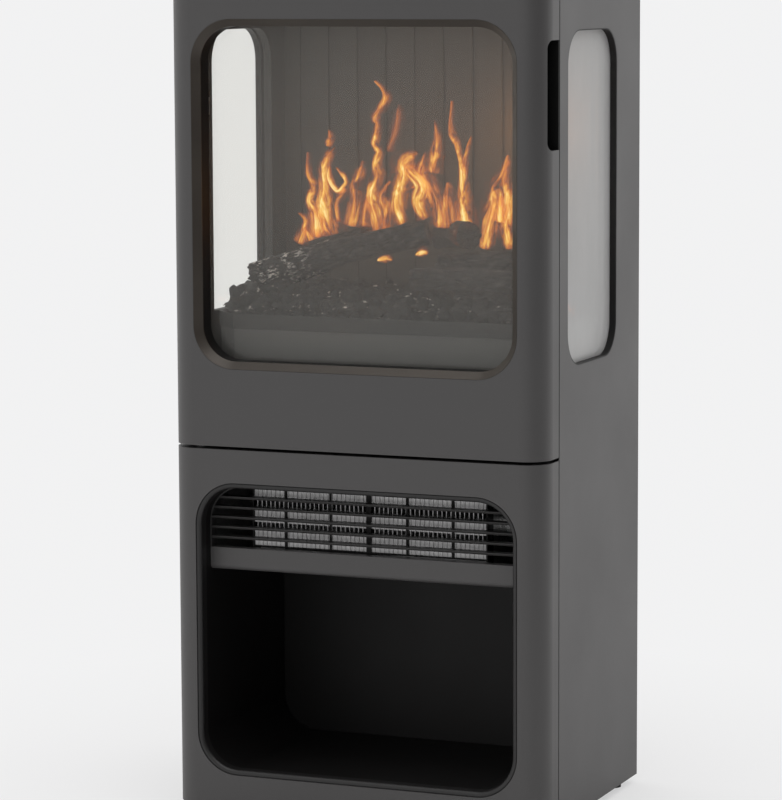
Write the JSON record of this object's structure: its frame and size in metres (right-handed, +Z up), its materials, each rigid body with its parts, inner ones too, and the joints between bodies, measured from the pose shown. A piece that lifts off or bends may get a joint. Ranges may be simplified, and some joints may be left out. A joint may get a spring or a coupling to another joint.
{
  "type": "water vapour electric fireplace",
  "caption": "Free-standing cabinet fireplace with a rounded front, hinged glass door, side windows, mist flame unit on a log bed, warm-air grille and open log store.",
  "frame": {"origin": "middle of the footprint, on the surface that the feet stand on", "axes": "+Z up, front towards -Y, +X to the right seen from the front"},
  "size_m": [0.5, 0.36, 1.1],
  "materials": {
    "shell_paint": "satin powder coat",
    "black_paint": "matt black",
    "dark_paint": "satin dark grey",
    "chamber_paint": "matt grey",
    "bevel_paint": "satin bronze grey",
    "zinc": "zinc plated",
    "alu": "bare",
    "steel": "plain",
    "glass": "clear",
    "black_plastic": "matt",
    "grey_plastic": "matt",
    "button_plastic": "matt",
    "brass": "turned",
    "magnet": "ferrite",
    "lamp": "diffuse amber",
    "board": "solder mask",
    "coal": "charred",
    "log": "charred moulded resin",
    "foot_rubber": "matt",
    "ceramic_disc": "glazed"
  },
  "bodies": {
    "cabinet": {"base_plate": "dark_paint", "mid_shelf": "dark_paint", "top_plate": "shell_paint", "right_side_panel": "shell_paint", "left_side_panel": "shell_paint", "side_window_frames": "black_paint", "side_glasses": "glass", "firebox_linings": "chamber_paint", "firebox_back": "chamber_paint", "firebox_ceiling": "chamber_paint", "rear_cover": "shell_paint", "rear_screws": "zinc", "mains_module": "black_plastic", "foot_inserts": "zinc", "lower_front_shell": "shell_paint", "opening_lip": "dark_paint", "log_store_liner": "black_paint", "heater_tray": "shell_paint", "outlet_grille": "dark_paint", "heater_frame": "black_paint", "heater_banks": "alu", "blower_housing": "zinc", "blower_motor": "steel", "blower_bearing": "brass", "hinge_pins": "steel", "door_magnet": "magnet", "vapour_unit_chassis": "chamber_paint", "control_panel": "black_plastic", "water_sump": "grey_plastic", "mist_transducers": "ceramic_disc", "sump_cover": "grey_plastic", "led_bar": "lamp", "fan_housing": "black_plastic", "control_board": "board"},
    "door": {"door_shell": "shell_paint", "door_window_frame": "bevel_paint", "door_window_reveal": "black_paint", "door_glass": "glass", "door_glass_clips": "zinc", "finger_pocket": "black_plastic", "hinge_bushes": "brass", "magnet_strike": "zinc"},
    "fuel_bed": {"fuel_tray": "chamber_paint", "ember_bed": "coal", "log_front_long": "log", "log_rear_left": "log", "log_far_right": "log", "log_right_stub": "log", "log_front_right": "log"},
    "blower": {"blower_impeller": "alu"},
    "mist_fan": {"fan_wheel": "black_plastic"},
    "cap": {"filler_cap": "black_plastic"},
    "rocker": {"switch_rocker": "button_plastic"},
    "power_key": {"button_power": "button_plastic"},
    "flame_key": {"button_flame": "button_plastic"},
    "heat_key": {"button_heat": "button_plastic"},
    "foot_1": {"foot_1": "foot_rubber"},
    "foot_2": {"foot_2": "foot_rubber"},
    "foot_3": {"foot_3": "foot_rubber"},
    "foot_4": {"foot_4": "foot_rubber"}
  },
  "joints": [
    {"name": "door_hinge", "type": "hinge", "parent": "cabinet", "child": "door", "pos_m": [-0.218, -0.148, 0.78], "axis": [0, 0, -1], "range_deg": [0, 110]},
    {"name": "fuel_bed_lift", "type": "slide", "parent": "cabinet", "child": "fuel_bed", "axis": [0, 0, 1], "range_m": [0, 0.12]},
    {"name": "filler_cap_lift", "type": "slide", "parent": "cabinet", "child": "cap", "axis": [0, 0, 1], "range_m": [0, 0.022]},
    {"name": "blower_spin", "type": "hinge", "parent": "cabinet", "child": "blower", "pos_m": [0, -0.07, 0.3785], "axis": [1, 0, 0], "continuous": true},
    {"name": "mist_fan_spin", "type": "hinge", "parent": "cabinet", "child": "mist_fan", "pos_m": [-0.1523, 0, 0.4995], "axis": [1, 0, 0], "continuous": true},
    {"name": "switch_rock", "type": "hinge", "parent": "cabinet", "child": "rocker", "pos_m": [0.104, 0.175, 0.08], "axis": [-1, 0, 0], "range_deg": [0, 15]},
    {"name": "power_key_press", "type": "slide", "parent": "cabinet", "child": "power_key", "axis": [0, 1, 0], "range_m": [0, 0.0015], "stiffness_N_per_m": 400, "springref_m": -0.002},
    {"name": "flame_key_press", "type": "slide", "parent": "cabinet", "child": "flame_key", "axis": [0, 1, 0], "range_m": [0, 0.0015], "stiffness_N_per_m": 400, "springref_m": -0.002},
    {"name": "heat_key_press", "type": "slide", "parent": "cabinet", "child": "heat_key", "axis": [0, 1, 0], "range_m": [0, 0.0015], "stiffness_N_per_m": 400, "springref_m": -0.002},
    {"name": "foot_1_level", "type": "slide", "parent": "cabinet", "child": "foot_1", "axis": [0, 0, 1], "range_m": [-0.012, 0]},
    {"name": "foot_2_level", "type": "slide", "parent": "cabinet", "child": "foot_2", "axis": [0, 0, 1], "range_m": [-0.012, 0]},
    {"name": "foot_3_level", "type": "slide", "parent": "cabinet", "child": "foot_3", "axis": [0, 0, 1], "range_m": [-0.012, 0]},
    {"name": "foot_4_level", "type": "slide", "parent": "cabinet", "child": "foot_4", "axis": [0, 0, 1], "range_m": [-0.012, 0]}
  ]
}
